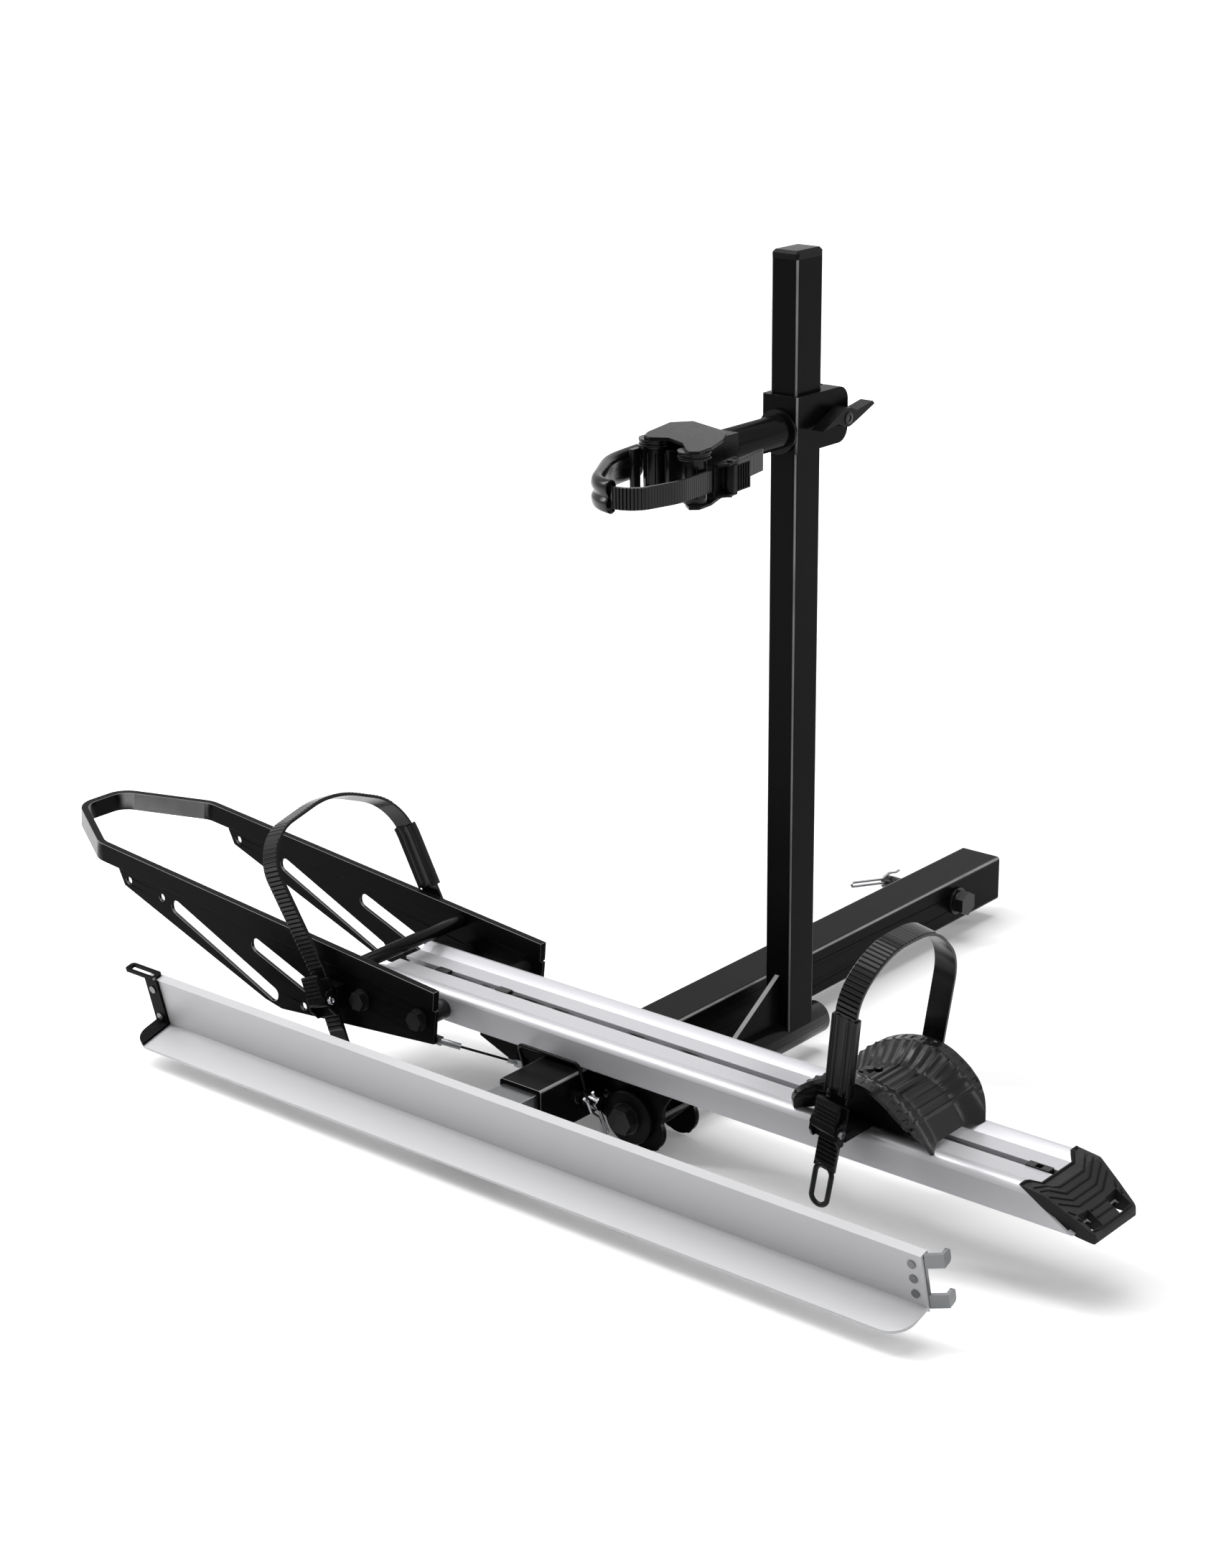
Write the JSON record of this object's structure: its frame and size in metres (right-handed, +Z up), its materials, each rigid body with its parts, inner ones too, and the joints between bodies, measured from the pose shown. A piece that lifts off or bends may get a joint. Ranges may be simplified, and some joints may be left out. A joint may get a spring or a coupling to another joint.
{
  "type": "hitch e-bike rack",
  "caption": "Receiver-hitch rack for one heavy bicycle: wheel rail with front cradle and sliding rear tray, folding mast with clamp arm, strap buckles and a carried loading ramp.",
  "frame": {"origin": "axis of the hitch pin on the centre line of the square hitch tube", "axes": "+X along the wheel rail towards its ramp end, +Y along the hitch tube towards the vehicle, +Z up"},
  "size_m": [1.2718, 0.8735, 0.808],
  "materials": {
    "black_paint": "satin powder coat",
    "rail_metal": "satin extruded",
    "ramp_metal": "satin sheet",
    "zinc": "zinc plated",
    "black_steel": "black oxide",
    "chrome": "polished",
    "black_plastic": "fine grain",
    "black_rubber": "matt"
  },
  "bodies": {
    "frame": {"hitch_tube": "black_paint", "stub_tube": "zinc", "bracket_web": "black_paint", "bracket_plates": "black_paint", "rail_fasteners": "black_steel", "rail": "rail_metal", "rail_end_cap": "black_plastic", "slot_fittings": "black_steel", "cradle_loop": "black_paint", "near_cradle_plate": "black_paint", "far_cradle_plate": "black_paint", "cradle_spacers": "black_steel", "cradle_fasteners": "black_steel", "cross_tube": "black_paint", "cable": "zinc", "cable_fittings": "zinc", "front_strap": "black_plastic", "front_strap_sleeve": "black_rubber", "front_buckle": "black_plastic", "front_strap_anchor": "black_plastic", "ramp_carrier": "black_paint", "lock_pin": "chrome"},
    "mast": {"mast_tube": "black_paint", "mast_cap": "black_plastic", "mast_gusset": "black_paint", "pivot_tube": "black_paint", "pivot_plug": "black_paint", "pivot_bolt": "black_steel", "pivot_washer": "black_plastic"},
    "collar": {"collar": "black_paint", "arm_tube": "black_paint"},
    "knob": {"wing_knob": "black_plastic", "clamp_bolt": "black_steel"},
    "clamp_head": {"head_top_plate": "black_plastic", "head_bottom_plate": "black_plastic", "head_hub": "black_plastic", "head_posts": "black_rubber", "head_rubbers": "black_rubber", "head_pads": "black_rubber", "frame_strap": "black_plastic", "frame_strap_sleeve": "black_rubber", "frame_buckle": "black_plastic"},
    "frame_lever": {"frame_buckle_lever": "black_plastic"},
    "front_lever": {"front_buckle_lever": "black_plastic"},
    "tray": {"tray_shell": "black_plastic", "tray_base": "black_plastic", "tray_bolt": "black_steel", "rear_strap": "black_plastic", "rear_strap_sleeve": "black_rubber", "rear_buckle": "black_plastic"},
    "rear_lever": {"rear_buckle_lever": "black_plastic"},
    "ramp": {"ramp_channel": "ramp_metal", "ramp_end_bracket": "black_paint", "ramp_hooks": "zinc", "ramp_rivets": "zinc", "ramp_hangers": "zinc"},
    "bail": {"pin_bail": "chrome"},
    "lock_clip": {"pin_clip": "chrome"},
    "hitch_bolt": {"hitch_bolt": "black_steel"},
    "hitch_clip": {"hitch_clip": "chrome"}
  },
  "joints": [
    {"name": "mast_fold", "type": "hinge", "parent": "frame", "child": "mast", "pos_m": [0.0734, -0.593, -0.012], "axis": [0, 1, 0], "range_deg": [0, 90]},
    {"name": "collar_height", "type": "slide", "parent": "mast", "child": "collar", "axis": [0, 0, 1], "range_m": [-0.4, 0.12]},
    {"name": "knob_turn", "type": "hinge", "parent": "collar", "child": "knob", "pos_m": [0.0734, -0.341, 0.6065], "axis": [1, 0, 0], "continuous": true},
    {"name": "head_tilt", "type": "hinge", "parent": "collar", "child": "clamp_head", "pos_m": [0.0734, -0.5, 0.5995], "axis": [0, 1, 0], "range_deg": [-90, 90]},
    {"name": "frame_lever_lift", "type": "hinge", "parent": "clamp_head", "child": "frame_lever", "pos_m": [0.13006, -0.54827, 0.591], "axis": [0, 0, -1], "range_deg": [0, 90]},
    {"name": "front_lever_lift", "type": "hinge", "parent": "frame", "child": "front_lever", "pos_m": [-0.26088, -0.6943, 0.03722], "axis": [0.9272, 0, 0.3746], "range_deg": [0, 90]},
    {"name": "tray_slide", "type": "slide", "parent": "frame", "child": "tray", "axis": [1, 0, 0], "range_m": [-0.15, 0.06]},
    {"name": "rear_lever_lift", "type": "hinge", "parent": "tray", "child": "rear_lever", "pos_m": [0.33578, -0.6773, 0.07716], "axis": [0.9848, 0, -0.1736], "range_deg": [0, 90]},
    {"name": "ramp_lift", "type": "slide", "parent": "frame", "child": "ramp", "axis": [0, 0, 1], "range_m": [0, 0.08]},
    {"name": "bail_swing", "type": "hinge", "parent": "frame", "child": "bail", "pos_m": [0, -0.639, 0], "axis": [1, 0, 0], "range_deg": [-12, 30]},
    {"name": "lock_clip_pull", "type": "slide", "parent": "frame", "child": "lock_clip", "axis": [0, 0.4067, -0.9135], "range_m": [0, 0.05]},
    {"name": "hitch_bolt_turn", "type": "hinge", "parent": "frame", "child": "hitch_bolt", "pos_m": [0, 0, 0], "axis": [1, 0, 0], "continuous": true},
    {"name": "hitch_clip_pull", "type": "slide", "parent": "hitch_bolt", "child": "hitch_clip", "axis": [0, -0.9744, 0.225], "range_m": [0, 0.08]}
  ]
}
